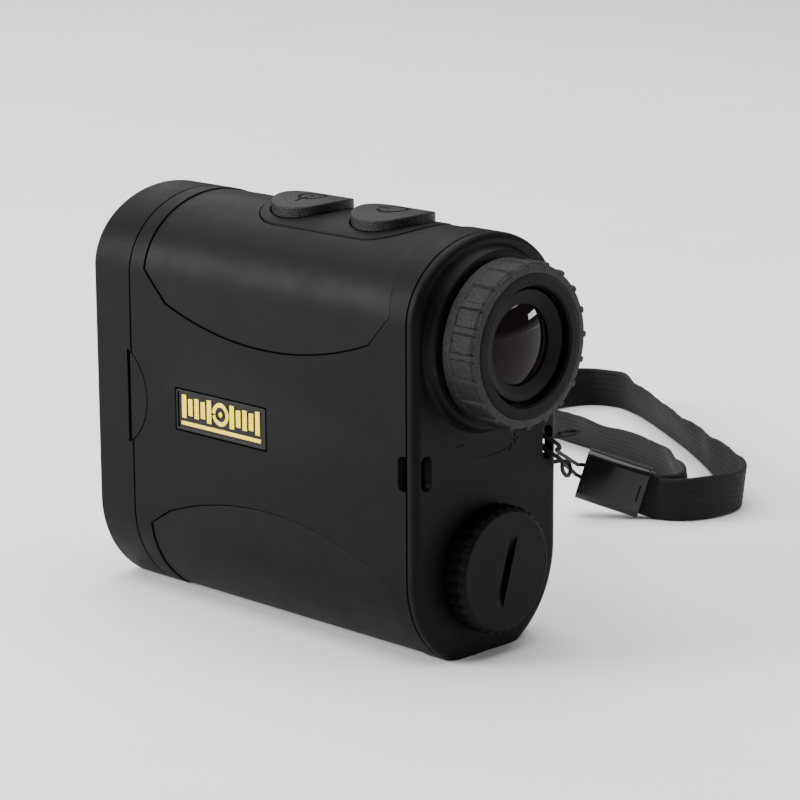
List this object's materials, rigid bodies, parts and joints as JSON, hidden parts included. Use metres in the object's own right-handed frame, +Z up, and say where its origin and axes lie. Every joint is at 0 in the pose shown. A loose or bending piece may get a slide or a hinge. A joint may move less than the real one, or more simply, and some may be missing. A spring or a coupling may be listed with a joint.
{
  "type": "laser rangefinder",
  "caption": "Compact handheld laser rangefinder: monocular sight over a laser window, top keys, turning diopter eyepiece, screw battery cap and webbing wrist strap.",
  "frame": {"origin": "middle of the flat base, on the surface that it stands on, with the strap not counted", "axes": "+Y is the way it looks, from eyepiece to objective; +X is the user's right; +Z is up"},
  "size_m": [0.1767, 0.1244, 0.0776],
  "materials": {
    "shell": "soft-touch black moulding, fine matt grain",
    "grip": "fine-grained rubberised panel",
    "button_rubber": "grainy silicone with a relief icon",
    "seal_rubber": "smooth black seal",
    "gloss_black": "polished black moulding",
    "badge": "polished black plate with gold relief",
    "inner_black": "matt black inner moulding",
    "metal": "plain machined metal",
    "coated_glass": "lens with a violet coating",
    "clear_glass": "polished prism glass",
    "circuit_board": "green solder mask",
    "battery_wrap": "printed sleeve with no lettering",
    "webbing": "ribbed woven webbing",
    "cord": "fine braided cord"
  },
  "bodies": {
    "root": {"main_housing": "shell", "front_cover": "shell", "rear_cover": "shell", "front_seal": "seal_rubber", "upper_grip": "grip", "lower_grip": "grip", "keypad_bezel": "shell", "mode_switch": "metal", "power_switch": "metal", "keypad_board": "circuit_board", "case_screw_1": "metal", "case_screw_2": "metal", "case_screw_3": "metal", "case_screw_4": "metal", "nameplate": "badge", "eyepiece_tube": "inner_black", "objective_barrel": "inner_black", "objective_lens": "coated_glass", "objective_ring": "inner_black", "laser_tube": "inner_black", "laser_lens": "coated_glass", "laser_ring": "inner_black", "laser_diode": "metal", "prism_housing": "inner_black", "prism_front": "clear_glass", "prism_rear": "clear_glass", "prism_cover": "metal", "display_frame": "inner_black", "reticle_display": "clear_glass", "light_receiver": "metal", "main_board": "circuit_board", "processor_chip": "inner_black", "cap_seal": "seal_rubber", "battery": "battery_wrap", "battery_tube": "inner_black", "battery_spring": "metal", "strap_webbing": "webbing", "strap_clamp": "gloss_black", "lanyard_cord": "cord"},
    "mode_key": {"mode_button": "button_rubber"},
    "power_key": {"power_button": "button_rubber"},
    "diopter_dial": {"diopter_ring": "shell", "diopter_grip": "grip"},
    "ocular": {"ocular_cell": "inner_black", "eye_lens": "coated_glass", "lens_spacer": "inner_black", "field_lens": "clear_glass", "cell_retainer": "inner_black"},
    "cap_carriage": {"cap_contact": "metal"},
    "cap": {"battery_cap": "shell"}
  },
  "joints": [
    {"name": "mode_press", "type": "slide", "parent": "root", "child": "mode_key", "axis": [0, 0, -1], "range_m": [0, 0.0008], "stiffness_N_per_m": 600},
    {"name": "power_press", "type": "slide", "parent": "root", "child": "power_key", "axis": [0, 0, -1], "range_m": [0, 0.0008], "stiffness_N_per_m": 600},
    {"name": "diopter_turn", "type": "hinge", "parent": "root", "child": "diopter_dial", "pos_m": [0, -0.044, 0.0573], "axis": [0, 1, 0], "range_deg": [-150, 150]},
    {"name": "ocular_focus", "type": "slide", "parent": "root", "child": "ocular", "axis": [0, -1, 0], "range_m": [-0.0013, 0.0013]},
    {"name": "cap_lift", "type": "slide", "parent": "root", "child": "cap_carriage", "axis": [0, -1, 0], "range_m": [0, 0.0046]},
    {"name": "cap_turn", "type": "hinge", "parent": "cap_carriage", "child": "cap", "pos_m": [0, -0.04, 0.0158], "axis": [0, -1, 0], "range_deg": [0, 1080]}
  ],
  "couplings": [
    {"joint": "ocular_focus", "follows": "diopter_turn", "m_per_rad": 0.000458},
    {"joint": "cap_lift", "follows": "cap_turn", "m_per_rad": 0.00023873}
  ]
}
